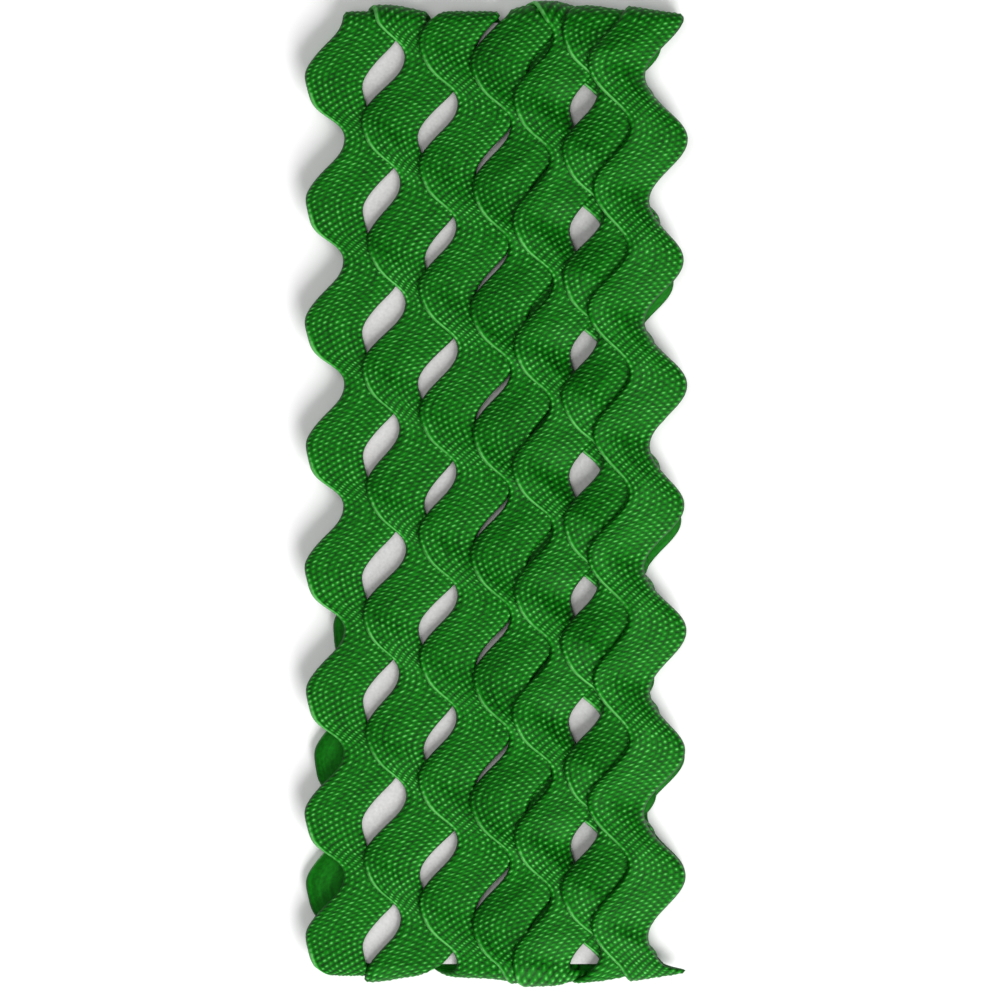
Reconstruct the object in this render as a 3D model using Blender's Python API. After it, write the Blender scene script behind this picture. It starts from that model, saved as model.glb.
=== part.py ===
"""Ric rac (zigzag braid) wound flat round a card. Blender 4.5, metres, +Z up.

The part lies on its back: X runs across the turns, Y along them towards the end that the turns fold over,
and Z up to the face that is looked at. The origin is at the middle of the underside.
"""

import math
from collections import namedtuple

import bmesh
import bpy
import numpy as np

MM = 0.001

# The tape: medium ric rac, half an inch wide over its waves.
BAND_WIDTH = 12.7 * MM
TAPE_WIDTH = 7.6 * MM
TAPE_THICK = 1.05 * MM
TAPE_LENGTH = 2300 * MM
WAVE_LENGTH = 16.27 * MM
WAVE_REACH = (BAND_WIDTH - TAPE_WIDTH) / 2

# The winding and the card inside it.
WINDING_LENGTH = 130 * MM
CARD_WIDTH = 37 * MM
CARD_THICK = 0.6 * MM
CARD_CORNER = 2 * MM
CLEARANCE = 0.3 * MM
POCKET_HALF = CARD_THICK / 2 + CLEARANCE
FOLD_REACH = 2 * MM
STRAIGHT = WINDING_LENGTH - 2 * (POCKET_HALF + FOLD_REACH)
FOLD_ARC = 5 * MM
FOLD_FADE = 4 * MM

# Each turn begins on the back, a little above the bottom fold, and the next one takes over there.
LEAD = 6 * MM
FRONT_FROM = LEAD + FOLD_ARC
FRONT_TO = FRONT_FROM + STRAIGHT
BACK_FROM = FRONT_TO + FOLD_ARC
ROUND = 2 * STRAIGHT + 2 * FOLD_ARC

# The turns in winding order. The first two lie under the others.
# centre: the turn's middle on the face, from the card's middle.
# crest: how far below the winding's top one of its left-hand wave crests lies.
# lag: how much lower the wave lies at its right edge than at its left.
# sway, sway_at: how far it strays to the right, and how far below the top it strays most.
# late: how much lower the slope under each left-hand crest lies than on an even wave.
# fold: how much tape each of its two folds takes.
# thin: how much thinner the tape is pulled in its folds.
Turn = namedtuple("Turn", "centre crest lag sway sway_at late fold thin")
TURNS = tuple(
    Turn(*(value * MM for value in row))
    for row in (
        (4.6, 9.7, 1.4, 0.0, 0.0, 0.8, 3.5, 0.0),
        (15.2, 5.9, 1.4, 0.0, 0.0, 0.8, 3.5, 0.9),
        (-19.0, 9.8, 1.4, 0.1, 21.0, 1.3, 2.2, 0.0),
        (-11.2, 15.5, 2.3, 0.5, 2.0, 0.8, 3.9, 0.0),
        (-4.0, 5.2, 1.3, 0.1, 14.0, 0.8, 4.4, 0.0),
        (3.0, 8.0, 1.4, 0.2, 20.0, 0.8, 4.9, 0.0),
        (8.5, 12.6, 1.4, 0.2, 6.0, 0.8, 5.3, 0.2),
        (15.0, 3.5, 1.4, 0.35, 29.0, 0.8, 5.8, 0.2),
        (18.7, 8.2, 1.6, 0.4, 22.0, 0.2, 5.4, 0.3),
    )
)
UNDER_TURNS = 2
LAST_CENTRE = 13.5 * MM
SWAY_LENGTH = 34 * MM

# The underside is pressed: it thins above PRESS_FROM and is flat where it rests.
PRESS_FROM = 1.5 * MM
PRESS_LIMIT = 2.15 * MM
REST_DEPTH = 1.7 * MM
CARD_HEIGHT = POCKET_HALF + REST_DEPTH

# The grid on which the turns are laid over each other.
GRID_ACROSS = 0.4 * MM
GRID_ALONG = 0.5 * MM
GRID_HALF_WIDTH = 27 * MM
LAY_COLUMNS = 9
LAY_STEPS = 80
LAY_SINK = 0.006 * MM

# The faces of one turn: columns across it and sections along it, fewer where it is hidden.
COLUMNS = (-1.0, -0.76, 0.1, 1.0)
HIDDEN_COLUMNS = (-1.0, 1.0)
WAVE_SECTIONS = 8
HIDDEN_SECTIONS = 6
FOLD_SECTIONS = 5
SEARCH_STEPS = 20001
SECTION_GAP = 0.7 * MM
INNER_DEPTH = -0.35 * MM
TENON_LENGTH = 2 * MM
TENON_SHARE = 0.86
TENON_DROP = 0.25 * MM

# The cutter for the card's pocket. Its ends have other facets than the folds, so no edge lies on another.
POCKET_END_SIDES = 7
POCKET_SPARE = 0.04 * MM
POCKET_REACH = 40 * MM

WELD = 0.001 * MM
FLAT_ANGLE = math.radians(0.3)


def smooth_step(value):
    value = np.clip(value, 0, 1)
    return value * value * (3 - 2 * value)


def blended(number, along, name):
    """One of a turn's values, which on the back moves over to the next turn's, fastest near the top."""
    turn = TURNS[number]
    after = TURNS[number + 1] if number + 1 < len(TURNS) else turn._replace(centre=LAST_CENTRE)
    left = np.clip((ROUND - along) / (ROUND - BACK_FROM), 0, 1)
    return getattr(after, name) + (getattr(turn, name) - getattr(after, name)) * left ** 2


def centre_of(number, along):
    """Where the middle of a turn is across the card, at distances along it."""
    turn = TURNS[number]
    swaying = smooth_step(along / SWAY_LENGTH) * smooth_step((ROUND - along) / SWAY_LENGTH)
    below_top = FRONT_TO + WINDING_LENGTH / 2 - STRAIGHT / 2 - along
    sway = turn.sway * np.cos(2 * math.pi * (below_top - turn.sway_at) / SWAY_LENGTH)
    return blended(number, along, "centre") + sway * swaying


def tape_used(number, along):
    """The length of tape from a turn's start to a place along it."""
    more = TURNS[number].fold / FOLD_ARC - 1
    return along + more * (np.clip(along - LEAD, 0, FOLD_ARC) + np.clip(along - FRONT_TO, 0, FOLD_ARC))


def used_to_crest(number):
    """The length of tape from a turn's start to its named crest."""
    below_top = TURNS[number].crest
    return tape_used(number, FRONT_FROM + STRAIGHT / 2 + WINDING_LENGTH / 2 - below_top)


def wave_of(number, along):
    """The phase of a turn's wave, 0 at a left-hand crest. It runs on without a break into the next turn."""
    turning = 2 * math.pi / WAVE_LENGTH
    phase = turning * (tape_used(number, along) - used_to_crest(number))
    if number + 1 == len(TURNS):
        return phase
    begins = turning * (tape_used(number, BACK_FROM) - used_to_crest(number))
    ends = -turning * used_to_crest(number + 1)
    whole = round((begins + turning * (ROUND - BACK_FROM) - ends) / (2 * math.pi))
    slope = (ends + 2 * math.pi * whole - begins) / (ROUND - BACK_FROM)
    return np.where(along < BACK_FROM, phase, begins + slope * (along - BACK_FROM))


def facing(along):
    """1 on the face and -1 on the back, changing over the folds."""
    return 2 * smooth_step((along - LEAD) / FOLD_ARC) * smooth_step((BACK_FROM - along) / FOLD_ARC) - 1


def across(number, along, side):
    """X of a point on a turn: side is -1 at its left edge and 1 at its right, whose wave lags a little."""
    front = facing(along)
    lag = math.pi * blended(number, along, "lag") / WAVE_LENGTH * (side + 1)
    phase = wave_of(number, along) + front * lag
    late = 2 * math.pi * blended(number, along, "late") / WAVE_LENGTH
    phase = phase + front * late * np.sin(phase) ** 2 * (1 - front * np.sin(phase)) / 2
    return centre_of(number, along) + side * TAPE_WIDTH / 2 - WAVE_REACH * np.cos(phase)


def side_at(number, along, x):
    """The side value at X, found by a few rounds of substitution because the lag depends on it."""
    side = np.zeros(np.broadcast(along, x).shape)
    for _ in range(6):
        side += (x - across(number, along, side)) / (TAPE_WIDTH / 2)
        side = np.clip(side, -3, 3)
    return side


def in_fold(along):
    """1 in the two folds, fading to 0 a little beyond them."""
    off_bottom = np.abs(along - LEAD - FOLD_ARC / 2)
    off_top = np.abs(along - FRONT_TO - FOLD_ARC / 2)
    return smooth_step(1 - (np.minimum(off_bottom, off_top) - FOLD_ARC / 2) / FOLD_FADE)


def thickness(number, along, side):
    """The tape's thickness: full in the middle, thinner at its rounded edges and where a fold pulls it thin."""
    pulled = TURNS[number].thin * in_fold(along)
    return (TAPE_THICK - pulled) * (1 - 0.5 * np.abs(side) ** 8)


def end_of(number):
    """How far along a turn goes. The last one stops where the tape's length is used up."""
    last = len(TURNS) - 1
    if number < last:
        return ROUND
    used_before = sum(float(tape_used(earlier, ROUND)) for earlier in range(last))
    return TAPE_LENGTH - used_before - float(tape_used(last, ROUND) - ROUND)


def lay_turns():
    """The height of each turn's top above the pocket, on a grid along and across it, laid in winding order."""
    rows = round(ROUND / GRID_ALONG)
    along = (np.arange(rows) * ROUND / rows)[:, None]
    x = np.arange(-GRID_HALF_WIDTH, GRID_HALF_WIDTH, GRID_ACROSS)[None, :]
    sides = np.linspace(-1, 1, LAY_COLUMNS)[None, :]
    ground = np.zeros((rows, x.size))
    laid = []
    before = np.zeros(LAY_COLUMNS)
    for number in range(len(TURNS)):
        places = across(number, along, sides)
        under = np.array([np.interp(places[i], x[0], ground[i]) for i in range(rows)])
        rest = under.copy()
        for _ in range(LAY_STEPS):
            wide = np.pad(rest, ((1, 1), (1, 1)), mode="edge")
            wide[0, 1:-1] = before
            wide[:, 0] = 2 * wide[:, 1] - wide[:, 2]
            wide[:, -1] = 2 * wide[:, -2] - wide[:, -3]
            beside = (wide[1:-1, :-2] + wide[1:-1, 2:]) / 2
            ahead = (wide[:-2, 1:-1] + wide[2:, 1:-1]) / 2
            rest = np.maximum(under, 0.6 * beside + 0.4 * ahead - LAY_SINK)
        tops = rest + thickness(number, along, sides)
        side = side_at(number, along, x)
        raised = np.array([np.interp(side[i], sides[0], tops[i]) for i in range(rows)])
        covered = (np.abs(side) <= 1) & (along <= end_of(number))
        ground = np.where(covered, np.maximum(ground, raised), ground)
        laid.append(tops)
        before = rest[-1]
    return along[:, 0], sides[0], laid


def height_of(laid, number, along, side):
    """The laid height at one place of a turn."""
    grid_along, grid_sides, tops = laid
    column = [np.interp(side, grid_sides, row) for row in tops[number]]
    return float(np.interp(along, grid_along, column))


def pressed(depth, along):
    """The height once the underside is pressed, fading in over the folds."""
    over = max(depth - PRESS_FROM, 0)
    room = PRESS_LIMIT - PRESS_FROM
    soft = min(depth, PRESS_FROM) + room * (1 - math.exp(-over / room))
    front = (1 + facing(along)) / 2
    return front * depth + (1 - front) * min(soft, REST_DEPTH)


def around_card(along, depth):
    """(Y, Z) of a point at that depth outside the pocket, at a distance along the way round the card."""
    turned = (np.clip(along - LEAD, 0, FOLD_ARC) + np.clip(along - FRONT_TO, 0, FOLD_ARC)) * math.pi / FOLD_ARC
    upwards = np.clip(along - FRONT_FROM, 0, STRAIGHT)
    downwards = np.minimum(along, LEAD) - LEAD + np.clip(along - BACK_FROM, 0, None)
    reach = POCKET_HALF + depth
    return upwards - downwards - STRAIGHT / 2 - reach * np.sin(turned), CARD_HEIGHT - reach * np.cos(turned)


def section_places(number, begin, end, to_a_wave):
    """Distances along a turn where its sections stand: in step with its wave, and more in folds."""
    fine = np.linspace(begin, end, SEARCH_STEPS)
    parts_of_wave = wave_of(number, fine) / (2 * math.pi / to_a_wave)
    crossings = fine[1:][np.diff(np.floor(parts_of_wave)) != 0]
    places = [begin, end]
    for fold in (LEAD, FRONT_TO):
        if begin <= fold < end:
            places += list(np.linspace(fold, fold + FOLD_ARC, FOLD_SECTIONS + 1))
        crossings = crossings[(crossings < fold - SECTION_GAP) | (crossings > fold + FOLD_ARC + SECTION_GAP)]
    clear = (crossings > begin + SECTION_GAP) & (crossings < end - SECTION_GAP)
    return sorted({*places, *crossings[clear].tolist()})


def new_object(name, work, material):
    mesh = bpy.data.meshes.new(name)
    bmesh.ops.recalc_face_normals(work, faces=work.faces)
    work.to_mesh(mesh)
    work.free()
    made = bpy.data.objects.new(name, mesh)
    bpy.context.scene.collection.objects.link(made)
    made.data.materials.append(material)
    return made


def add_ring(work, laid, number, along, columns, share=1.0, drop=0.0):
    """The corner points of one section of a turn, from inside the pocket out to the tape's top."""
    owner, place = (number, along) if along <= ROUND else (number + 1, along - ROUND)
    corners = [(side, pressed(height_of(laid, number, along, side), place) - drop) for side in columns]
    corners += [(columns[-1], INNER_DEPTH), (columns[0], INNER_DEPTH)]
    return [
        work.verts.new((across(owner, place, side * share), *around_card(place, depth)))
        for side, depth in corners
    ]


def half_turn(laid, number, begin, end, material):
    """A closed strip of one turn from begin to end, with a smaller tenon that enters the strip after it."""
    hidden = number < UNDER_TURNS
    columns = HIDDEN_COLUMNS if hidden else COLUMNS
    to_a_wave = HIDDEN_SECTIONS if hidden or begin >= BACK_FROM else WAVE_SECTIONS
    work = bmesh.new()
    places = section_places(number, begin, end, to_a_wave)
    rings = [add_ring(work, laid, number, place, columns) for place in places]
    if begin < BACK_FROM or number + 1 < len(TURNS):
        rings.append(add_ring(work, laid, number, end + TENON_LENGTH, columns, TENON_SHARE, TENON_DROP))
    for one, two in zip(rings, rings[1:]):
        for i in range(len(one)):
            work.faces.new((one[i - 1], one[i], two[i], two[i - 1]))
    work.faces.new(rings[0])
    work.faces.new(rings[-1][::-1])
    bmesh.ops.triangulate(work, faces=work.faces)
    return new_object(f"turn_{number}_from_{begin:.3f}", work, material)


def pocket_cutter(material):
    """The space for the card: a slab with round ends, wider than the winding."""
    outline = []
    for end, begin in ((1, -math.pi / 2), (-1, math.pi / 2)):
        for angle in np.linspace(begin, begin + math.pi, POCKET_END_SIDES + 1):
            middle = end * (STRAIGHT / 2 + POCKET_SPARE)
            outline.append((middle + POCKET_HALF * math.cos(angle), POCKET_HALF * math.sin(angle)))
    work = bmesh.new()
    left, right = (
        [work.verts.new((x, y, CARD_HEIGHT + z)) for y, z in outline] for x in (-POCKET_REACH, POCKET_REACH)
    )
    work.faces.new(left)
    work.faces.new(right)
    for i in range(len(outline)):
        work.faces.new((left[i - 1], left[i], right[i], right[i - 1]))
    return new_object("pocket_cutter", work, material)


def combine(target, others, operation):
    """Applies one Boolean of the others to target, and removes them."""
    group = bpy.data.collections.new("others")
    for other in others:
        group.objects.link(other)
    modifier = target.modifiers.new("combine", "BOOLEAN")
    modifier.operation = operation
    modifier.operand_type = "COLLECTION"
    modifier.collection = group
    modifier.solver = "EXACT"
    graph = bpy.context.evaluated_depsgraph_get()
    combined = bpy.data.meshes.new_from_object(target.evaluated_get(graph))
    target.modifiers.clear()
    target.data = combined
    for other in others:
        bpy.data.objects.remove(other)
    bpy.data.collections.remove(group)


def merge_flat_faces(target):
    """Welds the tiny edges that the Booleans leave, and joins faces that lie in one plane."""
    work = bmesh.new()
    work.from_mesh(target.data)
    bmesh.ops.remove_doubles(work, verts=work.verts, dist=WELD)
    bmesh.ops.dissolve_limit(work, angle_limit=FLAT_ANGLE, verts=work.verts, edges=work.edges)
    bmesh.ops.triangulate(work, faces=work.faces)
    bmesh.ops.dissolve_degenerate(work, dist=WELD, edges=work.edges)
    work.to_mesh(target.data)
    work.free()


def plain_material(name, colour, roughness):
    material = bpy.data.materials.new(name)
    material.use_nodes = True
    shader = material.node_tree.nodes["Principled BSDF"]
    shader.inputs["Base Color"].default_value = (*colour, 1)
    shader.inputs["Roughness"].default_value = roughness
    shader.inputs["Metallic"].default_value = 0
    return material


def make_winding():
    """All the turns as one solid round the card's pocket."""
    green = plain_material("ric_rac_green", (0.01, 0.16, 0.015), 0.7)
    laid = lay_turns()
    halves = []
    for number in range(len(TURNS)):
        halves.append(half_turn(laid, number, 0.0, BACK_FROM, green))
        halves.append(half_turn(laid, number, BACK_FROM, end_of(number), green))
    winding = halves[0]
    combine(winding, halves[1:], "UNION")
    combine(winding, [pocket_cutter(green)], "DIFFERENCE")
    merge_flat_faces(winding)
    winding.name = "ric_rac_winding"
    return winding


def make_card():
    """The flat card with rounded corners that the tape is wound on."""
    grey = plain_material("card_grey", (0.6, 0.6, 0.62), 0.85)
    work = bmesh.new()
    bmesh.ops.create_cube(work, size=1)
    bmesh.ops.scale(work, vec=(CARD_WIDTH, STRAIGHT, CARD_THICK), verts=work.verts)
    corners = [e for e in work.edges if abs(e.verts[0].co.z - e.verts[1].co.z) > CARD_THICK / 2]
    bmesh.ops.bevel(work, geom=corners, offset=CARD_CORNER, segments=4, profile=0.5, affect="EDGES")
    bmesh.ops.translate(work, vec=(0, 0, CARD_HEIGHT), verts=work.verts)
    return new_object("winding_card", work, grey)


def main():
    for old in list(bpy.data.objects):
        bpy.data.objects.remove(old)
    make_winding()
    make_card()


main()
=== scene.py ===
"""The looks of a ric rac winding: nine turns of braided zigzag tape round a grey card, on a pale floor."""

import math
from collections import namedtuple

import bpy
import numpy as np
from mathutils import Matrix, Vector


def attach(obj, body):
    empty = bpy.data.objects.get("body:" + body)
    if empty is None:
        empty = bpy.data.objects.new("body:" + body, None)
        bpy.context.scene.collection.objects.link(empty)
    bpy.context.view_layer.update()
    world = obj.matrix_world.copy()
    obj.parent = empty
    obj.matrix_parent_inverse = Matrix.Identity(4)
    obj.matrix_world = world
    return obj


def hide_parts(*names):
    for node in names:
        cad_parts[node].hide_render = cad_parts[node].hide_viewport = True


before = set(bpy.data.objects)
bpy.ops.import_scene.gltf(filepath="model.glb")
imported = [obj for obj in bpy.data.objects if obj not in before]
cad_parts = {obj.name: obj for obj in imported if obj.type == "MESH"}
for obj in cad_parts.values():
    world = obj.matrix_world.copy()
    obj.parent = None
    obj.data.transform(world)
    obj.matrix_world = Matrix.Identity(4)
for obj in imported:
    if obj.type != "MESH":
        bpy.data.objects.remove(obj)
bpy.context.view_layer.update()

MM = 0.001

# The tape: medium ric rac, half an inch wide over its waves. These values and the turns match the CAD.
BAND_WIDTH = 12.7 * MM
TAPE_WIDTH = 7.6 * MM
TAPE_THICK = 1.05 * MM
EDGE_THINNING = 0.5
EDGE_POWER = 8
TAPE_LENGTH = 2300 * MM
WAVE_LENGTH = 16.27 * MM
WAVE_REACH = (BAND_WIDTH - TAPE_WIDTH) / 2

# The winding and the card inside it.
WINDING_LENGTH = 130 * MM
CARD_THICK = 0.6 * MM
CLEARANCE = 0.3 * MM
POCKET_HALF = CARD_THICK / 2 + CLEARANCE
FOLD_REACH = 2 * MM
STRAIGHT = WINDING_LENGTH - 2 * (POCKET_HALF + FOLD_REACH)
FOLD_ARC = 5 * MM
FOLD_FADE = 4 * MM

# Each turn begins on the back, a little above the bottom fold, and the next one takes over there.
LEAD = 6 * MM
FRONT_FROM = LEAD + FOLD_ARC
FRONT_TO = FRONT_FROM + STRAIGHT
BACK_FROM = FRONT_TO + FOLD_ARC
ROUND = 2 * STRAIGHT + 2 * FOLD_ARC

# The turns in winding order. The first two lie under the others.
# centre: the turn's middle on the face, from the card's middle.
# crest: how far below the winding's top one of its left-hand wave crests lies.
# lag: how much lower the wave lies at its right edge than at its left.
# sway, sway_at: how far it strays to the right, and how far below the top it strays most.
# late: how much lower the slope under each left-hand crest lies than on an even wave.
# fold: how much tape each of its two folds takes.
# thin: how much thinner the tape is pulled in its folds.
Turn = namedtuple("Turn", "centre crest lag sway sway_at late fold thin")
TURNS = tuple(
    Turn(*(value * MM for value in row))
    for row in (
        (4.6, 9.7, 1.4, 0.0, 0.0, 0.8, 3.5, 0.0),
        (15.2, 5.9, 1.4, 0.0, 0.0, 0.8, 3.5, 0.9),
        (-19.0, 9.8, 1.4, 0.1, 21.0, 1.3, 2.2, 0.0),
        (-11.2, 15.5, 2.3, 0.5, 2.0, 0.8, 3.9, 0.0),
        (-4.0, 5.2, 1.3, 0.1, 14.0, 0.8, 4.4, 0.0),
        (3.0, 8.0, 1.4, 0.2, 20.0, 0.8, 4.9, 0.0),
        (8.5, 12.6, 1.4, 0.2, 6.0, 0.8, 5.3, 0.2),
        (15.0, 3.5, 1.4, 0.35, 29.0, 0.8, 5.8, 0.2),
        (18.7, 8.2, 1.6, 0.4, 22.0, 0.2, 5.4, 0.3),
    )
)
LAST_CENTRE = 13.5 * MM
SWAY_LENGTH = 34 * MM

# The underside is pressed: it thins above PRESS_FROM and is flat where it rests.
PRESS_FROM = 1.5 * MM
PRESS_LIMIT = 2.15 * MM
REST_DEPTH = 1.7 * MM
CARD_HEIGHT = POCKET_HALF + REST_DEPTH

# The grid on which the turns are laid over each other.
GRID_ACROSS = 0.4 * MM
GRID_ALONG = 0.5 * MM
GRID_HALF_WIDTH = 27 * MM
LAY_COLUMNS = 9
LAY_STEPS = 80
LAY_SINK = 0.006 * MM
LAY_BESIDE = 0.6
LAY_AHEAD = 0.4
SIDE_ROUNDS = 6
SIDE_LIMIT = 3

# The braid: small oval floats of yarn in columns along the tape, each column half a float out of step.
# Rises go from 0 in the gaps to 1 at the middle of an even float; they also set the braid's colour, as
# painted shade in the gaps and a painted highlight on the floats.
FLOAT_COLUMNS = 10
FLOAT_LENGTH = 0.79 * MM
ROWS_A_FLOAT = 4
FINE_STEPS = 8001
FLOAT_RELIEF = 0.15 * MM
RIM_RELIEF = 0.05 * MM
ROW_ARCH = 0.7 * MM
BETWEEN_FLOATS = 0.2
FLOAT_LINK = 0.14
FLOAT_UNEVENNESS = 0.14
HIGHEST_RISE = 1.2
# The smooth left rim: how many columns it takes, and its rise, which also lightens it as a painted highlight.
RIM_COLUMNS = 2
RIM_RISE = 0.95

# A turn's section: rounded at both edges, with a plain underside at a few places across it.
SECTION_ROUNDING = 5
UNDER_SIDES = (0.92, 0.5, 0.0, -0.5, -0.92)
UNDER_RISE = 0.4
UNDER_GAP = 0.02 * MM
JOIN_LENGTH = 10 * MM

# Looks of the braid: its colours by tone, from painted shade in the gaps to a pale painted highlight on the
# float crowns, and how much and how finely yarns and floats differ.
BRAID_COLOURS_WITH_PAINTED_LIGHT = (
    (0.0, (0.0001, 0.014, 0.0002)),
    (0.3, (0.0004, 0.075, 0.0006)),
    (0.65, (0.0040, 0.190, 0.0040)),
    (1.0, (0.1100, 0.440, 0.1000)),
)
YARN_CHANGES_A_MM = (0.12, 1.7)
YARN_TONE = 0.5
FLOAT_CHANGES_A_MM = 2.2
FLOAT_TONE = 0.6
ROUGHNESS = 0.40
ROUGHNESS_RANGE = 0.25
FILAMENTS_A_MM = 3.2
FILAMENT_HEIGHT = 0.03 * MM

# Looks of the card: its colours by tone, and how fine its fibres and clouds are.
BOARD_COLOURS = ((0.3, (0.44, 0.435, 0.435)), (0.7, (0.58, 0.57, 0.57)))
FIBRES_A_METRE = 2600.0
CLOUDS_A_METRE = 90.0
FIBRE_SHARE = 0.6
FIBRE_HEIGHT = 0.03 * MM

# The floor and the lights. A light's place and size are in metres, its power in watts.
FLOOR_HALF = 3.0
FLOOR_GREY = 0.86
LIGHTS = (
    ("key", (0.45, -0.75, 0.75), 0.7, 19.0),
    ("overhead", (-0.3, 0.1, 1.1), 0.8, 5.0),
)
SURROUNDING = 0.25

# The photo's frame: one pixel is 1 / 7.56 mm of the winding's face, whose top is near the frame's top.
FRAME_PIXELS = 1000
PIXELS_A_MM = 7.56
FRAME_WIDTH = FRAME_PIXELS / PIXELS_A_MM * MM
FRAME_MIDDLE = (0.46 * MM, -0.87 * MM)
FACE_HEIGHT = 5.25 * MM
CAMERA_DISTANCE = 1.0
SENSOR_WIDTH = 36
CAMERA_NEAR = 0.01
CAMERA_FAR = 10

random = np.random.default_rng(7)


def smooth_step(value):
    value = np.clip(value, 0, 1)
    return value * value * (3 - 2 * value)


def blended(number, along, name):
    """One of a turn's values, which on the back moves over to the next turn's, fastest near the top."""
    turn = TURNS[number]
    after = TURNS[number + 1] if number + 1 < len(TURNS) else turn._replace(centre=LAST_CENTRE)
    left = np.clip((ROUND - along) / (ROUND - BACK_FROM), 0, 1)
    return getattr(after, name) + (getattr(turn, name) - getattr(after, name)) * left ** 2


def centre_of(number, along):
    """Where the middle of a turn is across the card, at distances along it."""
    turn = TURNS[number]
    swaying = smooth_step(along / SWAY_LENGTH) * smooth_step((ROUND - along) / SWAY_LENGTH)
    below_top = FRONT_TO + WINDING_LENGTH / 2 - STRAIGHT / 2 - along
    sway = turn.sway * np.cos(2 * math.pi * (below_top - turn.sway_at) / SWAY_LENGTH)
    return blended(number, along, "centre") + sway * swaying


def tape_used(number, along):
    """The length of tape from a turn's start to a place along it."""
    more = TURNS[number].fold / FOLD_ARC - 1
    return along + more * (np.clip(along - LEAD, 0, FOLD_ARC) + np.clip(along - FRONT_TO, 0, FOLD_ARC))


def used_to_crest(number):
    """The length of tape from a turn's start to its named crest."""
    below_top = TURNS[number].crest
    return tape_used(number, FRONT_FROM + STRAIGHT / 2 + WINDING_LENGTH / 2 - below_top)


def wave_of(number, along):
    """The phase of a turn's wave, 0 at a left-hand crest. It runs on without a break into the next turn."""
    turning = 2 * math.pi / WAVE_LENGTH
    phase = turning * (tape_used(number, along) - used_to_crest(number))
    if number + 1 == len(TURNS):
        return phase
    begins = turning * (tape_used(number, BACK_FROM) - used_to_crest(number))
    ends = -turning * used_to_crest(number + 1)
    whole = round((begins + turning * (ROUND - BACK_FROM) - ends) / (2 * math.pi))
    slope = (ends + 2 * math.pi * whole - begins) / (ROUND - BACK_FROM)
    return np.where(along < BACK_FROM, phase, begins + slope * (along - BACK_FROM))


def facing(along):
    """1 on the face and -1 on the back, changing over the folds."""
    return 2 * smooth_step((along - LEAD) / FOLD_ARC) * smooth_step((BACK_FROM - along) / FOLD_ARC) - 1


def across(number, along, side):
    """X of a point on a turn: side is -1 at its left edge and 1 at its right, whose wave lags a little."""
    front = facing(along)
    lag = math.pi * blended(number, along, "lag") / WAVE_LENGTH * (side + 1)
    phase = wave_of(number, along) + front * lag
    late = 2 * math.pi * blended(number, along, "late") / WAVE_LENGTH
    phase = phase + front * late * np.sin(phase) ** 2 * (1 - front * np.sin(phase)) / 2
    return centre_of(number, along) + side * TAPE_WIDTH / 2 - WAVE_REACH * np.cos(phase)


def side_at(number, along, x):
    """The side value at X, found by a few rounds of substitution because the lag depends on it."""
    side = np.zeros(np.broadcast(along, x).shape)
    for _ in range(SIDE_ROUNDS):
        side += (x - across(number, along, side)) / (TAPE_WIDTH / 2)
        side = np.clip(side, -SIDE_LIMIT, SIDE_LIMIT)
    return side


def in_fold(along):
    """1 in the two folds, fading to 0 a little beyond them."""
    off_bottom = np.abs(along - LEAD - FOLD_ARC / 2)
    off_top = np.abs(along - FRONT_TO - FOLD_ARC / 2)
    return smooth_step(1 - (np.minimum(off_bottom, off_top) - FOLD_ARC / 2) / FOLD_FADE)


def thickness(number, along, side):
    """The tape's thickness: full in the middle, thinner at its edges and where a fold pulls it thin."""
    pulled = TURNS[number].thin * in_fold(along)
    return (TAPE_THICK - pulled) * (1 - EDGE_THINNING * np.abs(side) ** EDGE_POWER)


def end_of(number):
    """How far along a turn goes. The last one stops where the tape's length is used up."""
    last = len(TURNS) - 1
    if number < last:
        return ROUND
    used_before = sum(float(tape_used(earlier, ROUND)) for earlier in range(last))
    return TAPE_LENGTH - used_before - float(tape_used(last, ROUND) - ROUND)


def lay_turns():
    """The height of each turn's underside above the pocket, on a grid along and across it."""
    rows = round(ROUND / GRID_ALONG)
    along = (np.arange(rows) * ROUND / rows)[:, None]
    x = np.arange(-GRID_HALF_WIDTH, GRID_HALF_WIDTH, GRID_ACROSS)[None, :]
    sides = np.linspace(-1, 1, LAY_COLUMNS)[None, :]
    ground = np.zeros((rows, x.size))
    laid = []
    before = np.zeros(LAY_COLUMNS)
    for number in range(len(TURNS)):
        places = across(number, along, sides)
        under = np.array([np.interp(places[i], x[0], ground[i]) for i in range(rows)])
        rest = under.copy()
        for _ in range(LAY_STEPS):
            wide = np.pad(rest, ((1, 1), (1, 1)), mode="edge")
            wide[0, 1:-1] = before
            wide[:, 0] = 2 * wide[:, 1] - wide[:, 2]
            wide[:, -1] = 2 * wide[:, -2] - wide[:, -3]
            beside = (wide[1:-1, :-2] + wide[1:-1, 2:]) / 2
            ahead = (wide[:-2, 1:-1] + wide[2:, 1:-1]) / 2
            rest = np.maximum(under, LAY_BESIDE * beside + LAY_AHEAD * ahead - LAY_SINK)
        tops = rest + thickness(number, along, sides)
        side = side_at(number, along, x)
        raised = np.array([np.interp(side[i], sides[0], tops[i]) for i in range(rows)])
        covered = (np.abs(side) <= 1) & (along <= end_of(number))
        ground = np.where(covered, np.maximum(ground, raised), ground)
        laid.append(rest)
        before = rest[-1]
    return laid


def pressed(depth, along):
    """The height once the underside is pressed, fading in over the folds."""
    over = np.clip(depth - PRESS_FROM, 0, None)
    room = PRESS_LIMIT - PRESS_FROM
    soft = np.minimum(depth, PRESS_FROM) + room * (1 - np.exp(-over / room))
    front = (1 + facing(along)) / 2
    return front * depth + (1 - front) * np.minimum(soft, REST_DEPTH)


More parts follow.
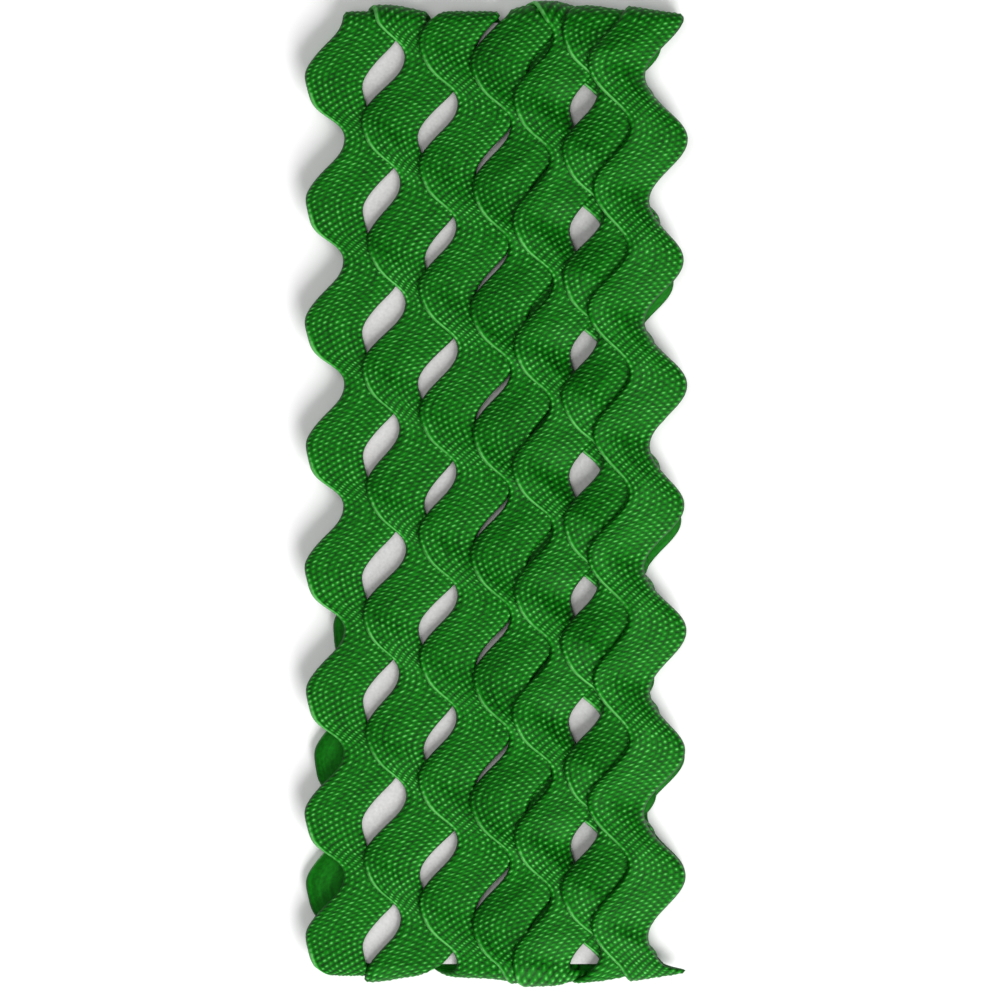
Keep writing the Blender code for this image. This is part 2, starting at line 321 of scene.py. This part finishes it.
def around_card(along, depth):
    """(Y, Z) of a point at that depth outside the pocket, at a distance along the way round the card."""
    in_folds = np.clip(along - LEAD, 0, FOLD_ARC) + np.clip(along - FRONT_TO, 0, FOLD_ARC)
    turned = in_folds * math.pi / FOLD_ARC
    upwards = np.clip(along - FRONT_FROM, 0, STRAIGHT)
    downwards = np.minimum(along, LEAD) - LEAD + np.clip(along - BACK_FROM, 0, None)
    reach = POCKET_HALF + depth
    return upwards - downwards - STRAIGHT / 2 - reach * np.sin(turned), CARD_HEIGHT - reach * np.cos(turned)


def through(values, places):
    """Rows of values read at fractional row places, on a smooth curve through them."""
    first = np.clip(np.floor(places).astype(int), 0, len(values) - 2)
    share = (places - first)[:, None]
    a = values[np.clip(first - 1, 0, None)]
    b = values[first]
    c = values[first + 1]
    d = values[np.clip(first + 2, None, len(values) - 1)]
    bend = 2 * a - 5 * b + 4 * c - d + (3 * b - 3 * c + d - a) * share
    return b + share * ((c - a) + share * bend) / 2


def rest_heights(laid, number, along, sides):
    """The height of a turn's underside at each row and column of its fine grid."""
    rows = through(laid[number], along * len(laid[number]) / ROUND)
    return through(rows.T, (sides + 1) / 2 * (LAY_COLUMNS - 1)).T


def row_places(number):
    """Where the rows of floats stand along a turn: evenly along its waving middle line."""
    fine = np.linspace(0, end_of(number), FINE_STEPS)
    steps = np.hypot(np.diff(fine), np.diff(across(number, fine, 0)))
    run = np.concatenate([[0], np.cumsum(steps)])
    rows = ROWS_A_FLOAT * round(run[-1] / FLOAT_LENGTH)
    return np.interp(np.linspace(0, run[-1], rows + 1), run, fine)


def float_pattern(number, along, sides):
    """How proud of the tape the yarn stands: ovals in step with the mesh's rows and odd columns.

    Where the wave climbs left, the turn's left rim is smooth and fully proud. The rise also sets the braid's
    colour: painted shade in the gaps and a painted highlight on the floats and the smooth rim.
    """
    column = np.arange(len(sides))[None, :]
    row = np.arange(len(along))[:, None] / ROWS_A_FLOAT
    slope = np.sin(wave_of(number, along))[:, None]
    out_of_step = (column // 2 % 2) / 2
    ovals = 0.5 + 0.5 * np.cos(2 * math.pi * (row + out_of_step))
    towards = (0.25 - out_of_step) * np.sign(slope)
    between = BETWEEN_FLOATS + FLOAT_LINK * np.abs(slope) * np.cos(2 * math.pi * (row - towards))
    uneven = 1 + FLOAT_UNEVENNESS * random.standard_normal((len(along), len(sides)))
    rise = np.clip(np.where(column % 2 == 1, ovals, between) * uneven, 0, HIGHEST_RISE)
    # The smooth rim's high rise also lightens its colour: a painted highlight along the rim.
    smooth_rim = np.clip(-slope, 0, 1) * (column < RIM_COLUMNS)
    return rise + (RIM_RISE - rise) * smooth_rim


def add_point_values(mesh, name, values):
    layer = mesh.attributes.new(name, "FLOAT_VECTOR", "POINT")
    layer.data.foreach_set("vector", np.ascontiguousarray(values, dtype=np.float32).ravel())


def row_shift(number, along, sides):
    """How far each row of floats moves along the tape at each side: it arches where the wave climbs right."""
    climbing = (1 + np.sin(wave_of(number, along))) / 2
    settled = smooth_step(along / JOIN_LENGTH) * smooth_step((along[-1] - along) / JOIN_LENGTH)
    return -(ROW_ARCH * climbing * settled)[:, None] * sides[None, :] ** 2


def surface(number, along, sides, depth):
    """Points at a depth outside the pocket for every row along and side across, as rows x sides x 3."""
    place = along[:, None] + row_shift(number, along, sides)
    y, z = around_card(place, depth)
    return np.stack([across(number, place, sides[None, :]), y, z], axis=2), place


def tape_turn(laid, number, material):
    """One turn of the tape as a closed strip with the braid's floats in relief on its outer side."""
    along = row_places(number)
    sides = np.linspace(-1, 1, 2 * FLOAT_COLUMNS + 1)
    under_sides = np.array(UNDER_SIDES)
    rest = rest_heights(laid, number, along, sides)
    if number + 1 < len(TURNS):
        ahead = rest_heights(laid, number + 1, np.zeros(1), sides)
        rest += (ahead - rest[-1]) * smooth_step((along - ROUND + JOIN_LENGTH) / JOIN_LENGTH)[:, None]
    under_rest = through(rest.T, (under_sides + 1) / 2 * (len(sides) - 1)).T

    half = (TAPE_THICK - TURNS[number].thin * in_fold(along))[:, None] / 2
    rounding = (1 - np.abs(sides) ** SECTION_ROUNDING) ** (1 / SECTION_ROUNDING)
    under_rounding = (1 - np.abs(under_sides) ** SECTION_ROUNDING) ** (1 / SECTION_ROUNDING)
    rise = float_pattern(number, along, sides)
    depth = pressed(rest + half * (1 + rounding), along[:, None]) - FLOAT_RELIEF * (1 - rise)
    full = pressed(under_rest + half * (1 + under_rounding), along[:, None])
    under_depth = np.maximum(full - 2 * half * under_rounding, UNDER_GAP)
    top, place = surface(number, along, sides, depth)
    under, under_place = surface(number, along, under_sides, under_depth)
    top[:, 0, 0] -= RIM_RELIEF * rise[:, 0]
    top[:, -1, 0] += RIM_RELIEF * rise[:, -1]

    points = np.concatenate([top, under], axis=1)
    rows, around = points.shape[:2]
    corner = np.arange(rows * around).reshape(rows, around)
    beside = np.roll(corner, -1, axis=1)
    quads = np.stack([corner[:-1], beside[:-1], beside[1:], corner[1:]], axis=2).reshape(-1, 4)
    faces = quads.tolist() + [corner[0].tolist()[::-1], corner[-1].tolist()]
    name = f"ric_rac_turn_{number + 1}"
    mesh = bpy.data.meshes.new(name)
    mesh.from_pydata(points.reshape(-1, 3), [], faces)
    mesh.update()
    mesh.shade_smooth()
    values = np.stack([
        np.concatenate([place, under_place], axis=1) / MM + number * ROUND / MM,
        np.broadcast_to(np.concatenate([sides, under_sides]), (rows, around)) * TAPE_WIDTH / 2 / MM,
        np.concatenate([rise, np.full(under_place.shape, UNDER_RISE)], axis=1),
    ], axis=2)
    add_point_values(mesh, "braid", values)
    mesh.materials.append(material)
    turn = bpy.data.objects.new(name, mesh)
    bpy.context.scene.collection.objects.link(turn)
    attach(turn, "root")
    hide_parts("ric_rac_winding")
    return turn


def new_material(name):
    material = bpy.data.materials.new(name)
    material.use_nodes = True
    tree = material.node_tree
    return material, tree, tree.nodes["Principled BSDF"]


def ramp(tree, source, stops):
    """A colour ramp fed by source, with (position, colour) stops."""
    made = tree.nodes.new("ShaderNodeValToRGB")
    elements = made.color_ramp.elements
    while len(elements) < len(stops):
        elements.new(0.5)
    for element, (position, colour) in zip(elements, stops):
        element.position = position
        element.color = (*colour, 1)
    tree.links.new(source, made.inputs["Fac"])
    return made.outputs["Color"]


def math_node(tree, operation, *values):
    """A math node whose inputs are sockets or numbers."""
    made = tree.nodes.new("ShaderNodeMath")
    made.operation = operation
    for socket, value in zip(made.inputs, values):
        if isinstance(value, (int, float)):
            socket.default_value = value
        else:
            tree.links.new(value, socket)
    return made.outputs["Value"]


def noise(tree, vector, scale, detail=2.0):
    made = tree.nodes.new("ShaderNodeTexNoise")
    made.inputs["Scale"].default_value = scale
    made.inputs["Detail"].default_value = detail
    tree.links.new(vector, made.inputs["Vector"])
    return made.outputs["Fac"]


def braid_material():
    """Green polyester braid: glossy floats lightened by a painted highlight, painted shade in the gaps
    between them, and yarns that differ a little.
    """
    material, tree, shader = new_material("green_polyester_braid")
    braid = tree.nodes.new("ShaderNodeAttribute")
    braid.attribute_name = "braid"
    split = tree.nodes.new("ShaderNodeSeparateXYZ")
    tree.links.new(braid.outputs["Vector"], split.inputs["Vector"])
    along, aside, rise = (split.outputs[axis] for axis in "XYZ")

    stretched = tree.nodes.new("ShaderNodeCombineXYZ")
    for axis, place, changes in zip("XY", (along, aside), YARN_CHANGES_A_MM):
        tree.links.new(math_node(tree, "MULTIPLY", place, changes), stretched.inputs[axis])
    by_yarn = noise(tree, stretched.outputs["Vector"], 1.0)
    flat = tree.nodes.new("ShaderNodeCombineXYZ")
    tree.links.new(along, flat.inputs["X"])
    tree.links.new(aside, flat.inputs["Y"])
    by_float = noise(tree, flat.outputs["Vector"], FLOAT_CHANGES_A_MM, 3.0)
    yarn_part = math_node(tree, "MULTIPLY_ADD", by_yarn, YARN_TONE, -YARN_TONE / 2)
    float_part = math_node(tree, "MULTIPLY_ADD", by_float, FLOAT_TONE, -FLOAT_TONE / 2)
    # The tone adds the floats' rise, so the gaps get painted shade and the float crowns and smooth rims get a
    # painted highlight.
    tone = math_node(tree, "ADD", math_node(tree, "ADD", yarn_part, float_part), rise)
    tree.links.new(ramp(tree, tone, BRAID_COLOURS_WITH_PAINTED_LIGHT), shader.inputs["Base Color"])

    filaments = tree.nodes.new("ShaderNodeTexWave")
    filaments.bands_direction = "X"
    filaments.inputs["Scale"].default_value = FILAMENTS_A_MM
    filaments.inputs["Distortion"].default_value = 2.0
    filaments.inputs["Detail Scale"].default_value = 1.5
    tree.links.new(flat.outputs["Vector"], filaments.inputs["Vector"])
    bump = tree.nodes.new("ShaderNodeBump")
    bump.inputs["Strength"].default_value = 0.35
    bump.inputs["Distance"].default_value = FILAMENT_HEIGHT
    tree.links.new(filaments.outputs["Fac"], bump.inputs["Height"])
    tree.links.new(bump.outputs["Normal"], shader.inputs["Normal"])

    rough = math_node(tree, "MULTIPLY_ADD", by_float, ROUGHNESS_RANGE, ROUGHNESS)
    tree.links.new(rough, shader.inputs["Roughness"])
    shader.inputs["Specular IOR Level"].default_value = 0.3
    shader.inputs["Specular Tint"].default_value = (0.3, 1.0, 0.3, 1)
    shader.inputs["Sheen Weight"].default_value = 0.03
    shader.inputs["Sheen Roughness"].default_value = 0.4
    shader.inputs["Sheen Tint"].default_value = (0.55, 1.0, 0.55, 1)
    return material


def board_material():
    """Uncoated grey paperboard with fine fibres."""
    material, tree, shader = new_material("grey_paperboard")
    place = tree.nodes.new("ShaderNodeTexCoord")
    fibres = noise(tree, place.outputs["Object"], FIBRES_A_METRE, 6.0)
    clouds = noise(tree, place.outputs["Object"], CLOUDS_A_METRE, 3.0)
    fibre_part = math_node(tree, "MULTIPLY", fibres, FIBRE_SHARE)
    cloud_part = math_node(tree, "MULTIPLY", clouds, 1 - FIBRE_SHARE)
    tone = math_node(tree, "ADD", fibre_part, cloud_part)
    tree.links.new(ramp(tree, tone, BOARD_COLOURS), shader.inputs["Base Color"])
    bump = tree.nodes.new("ShaderNodeBump")
    bump.inputs["Strength"].default_value = 0.3
    bump.inputs["Distance"].default_value = FIBRE_HEIGHT
    tree.links.new(fibres, bump.inputs["Height"])
    tree.links.new(bump.outputs["Normal"], shader.inputs["Normal"])
    shader.inputs["Roughness"].default_value = 0.85
    shader.inputs["Specular IOR Level"].default_value = 0.25
    return material


def dress_card():
    """The card keeps its CAD solid and gets the paperboard."""
    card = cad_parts["winding_card"]
    for slot in card.material_slots:
        slot.material = board_material()


def add_floor():
    """A plain pale floor that the winding lies on."""
    mesh = bpy.data.meshes.new("floor")
    corners = [(x * FLOOR_HALF, y * FLOOR_HALF, 0) for x, y in ((-1, -1), (1, -1), (1, 1), (-1, 1))]
    mesh.from_pydata(corners, [], [(0, 1, 2, 3)])
    material, tree, shader = new_material("pale_floor")
    shader.inputs["Base Color"].default_value = (FLOOR_GREY, FLOOR_GREY, FLOOR_GREY, 1)
    shader.inputs["Roughness"].default_value = 0.7
    mesh.materials.append(material)
    floor = bpy.data.objects.new("floor", mesh)
    bpy.context.scene.collection.objects.link(floor)


def add_light(name, place, size, power):
    """A square soft light that faces the winding."""
    data = bpy.data.lights.new(name, "AREA")
    data.shape = "SQUARE"
    data.size = size
    data.energy = power
    light = bpy.data.objects.new(name, data)
    light.location = place
    light.rotation_euler = (-Vector(place)).to_track_quat("-Z", "Y").to_euler()
    bpy.context.scene.collection.objects.link(light)


def add_studio():
    """Soft light from beyond the bottom fold and the right, and from above, with a pale surrounding."""
    for name, place, size, power in LIGHTS:
        add_light(name, place, size, power)
    world = bpy.data.worlds.new("studio")
    world.use_nodes = True
    background = world.node_tree.nodes["Background"]
    background.inputs["Color"].default_value = (1, 1, 1, 1)
    background.inputs["Strength"].default_value = SURROUNDING
    bpy.context.scene.world = world
    bpy.context.scene.view_settings.view_transform = "Standard"


def add_camera():
    """Looks straight down, with the photo's frame."""
    data = bpy.data.cameras.new("camera")
    data.sensor_width = SENSOR_WIDTH
    data.lens = SENSOR_WIDTH * CAMERA_DISTANCE / FRAME_WIDTH
    data.clip_start = CAMERA_NEAR
    data.clip_end = CAMERA_FAR
    camera = bpy.data.objects.new("camera", data)
    camera.location = (*FRAME_MIDDLE, FACE_HEIGHT + CAMERA_DISTANCE)
    bpy.context.scene.collection.objects.link(camera)
    bpy.context.scene.camera = camera


def main():
    add_camera()
    laid = lay_turns()
    material = braid_material()
    for number in range(len(TURNS)):
        tape_turn(laid, number, material)
    dress_card()
    add_floor()
    add_studio()


main()
